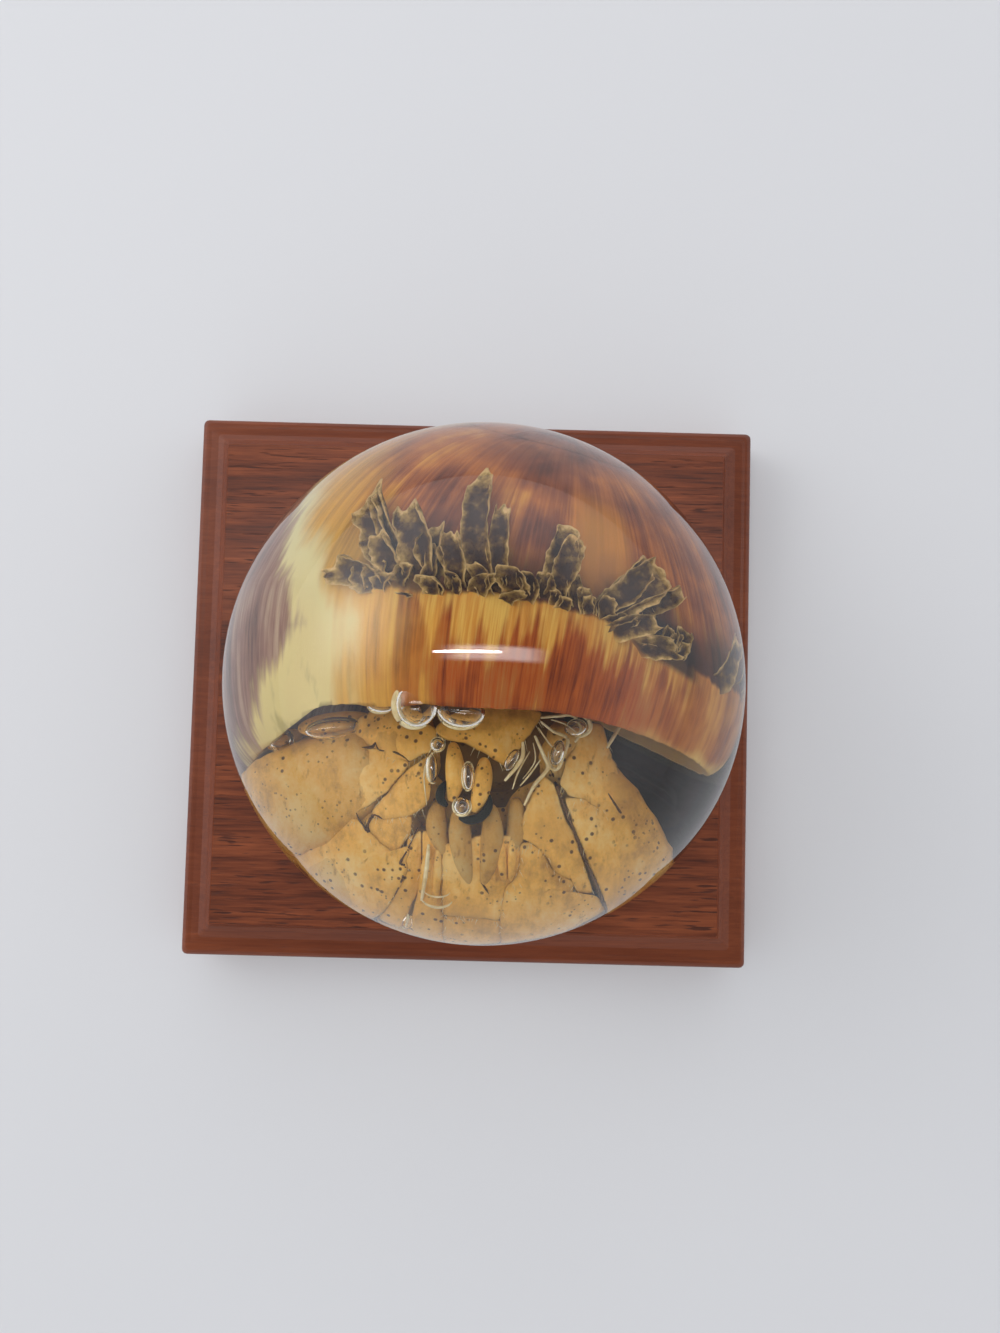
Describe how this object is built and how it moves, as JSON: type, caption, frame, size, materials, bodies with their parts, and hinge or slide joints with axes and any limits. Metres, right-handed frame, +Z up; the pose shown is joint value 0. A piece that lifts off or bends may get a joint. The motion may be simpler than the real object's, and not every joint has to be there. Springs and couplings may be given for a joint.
{
  "type": "hermit crab in resin ball on plinth",
  "caption": "Dried hermit crab in its spiny shell, cast in a clear ball with a flat foot, on a square moulded wooden plinth.",
  "frame": {"origin": "middle of the plinth's underside", "axes": "+Z up; +Y towards the side that the shell's spire points to, the top of the picture; the crab faces -Y; +X to the right seen from above with +Y away"},
  "size_m": [0.127, 0.1222, 0.0975],
  "materials": {
    "plinth_wood": "satin lacquer on red-brown wood, grain along X",
    "black_backing": "matt black",
    "clear_resin": "clear, polished, faintly warm",
    "turban_shell": "smooth growth lines in red-brown, ochre and cream",
    "dried_crab": "golden tan dry cuticle with small dark dots"
  },
  "bodies": {
    "root": {"plinth": "plinth_wood", "backing_disc": "black_backing", "resin_lower": "clear_resin", "resin_upper": "clear_resin", "shell": "turban_shell", "hermit_crab": "dried_crab"}
  },
  "joints": []
}
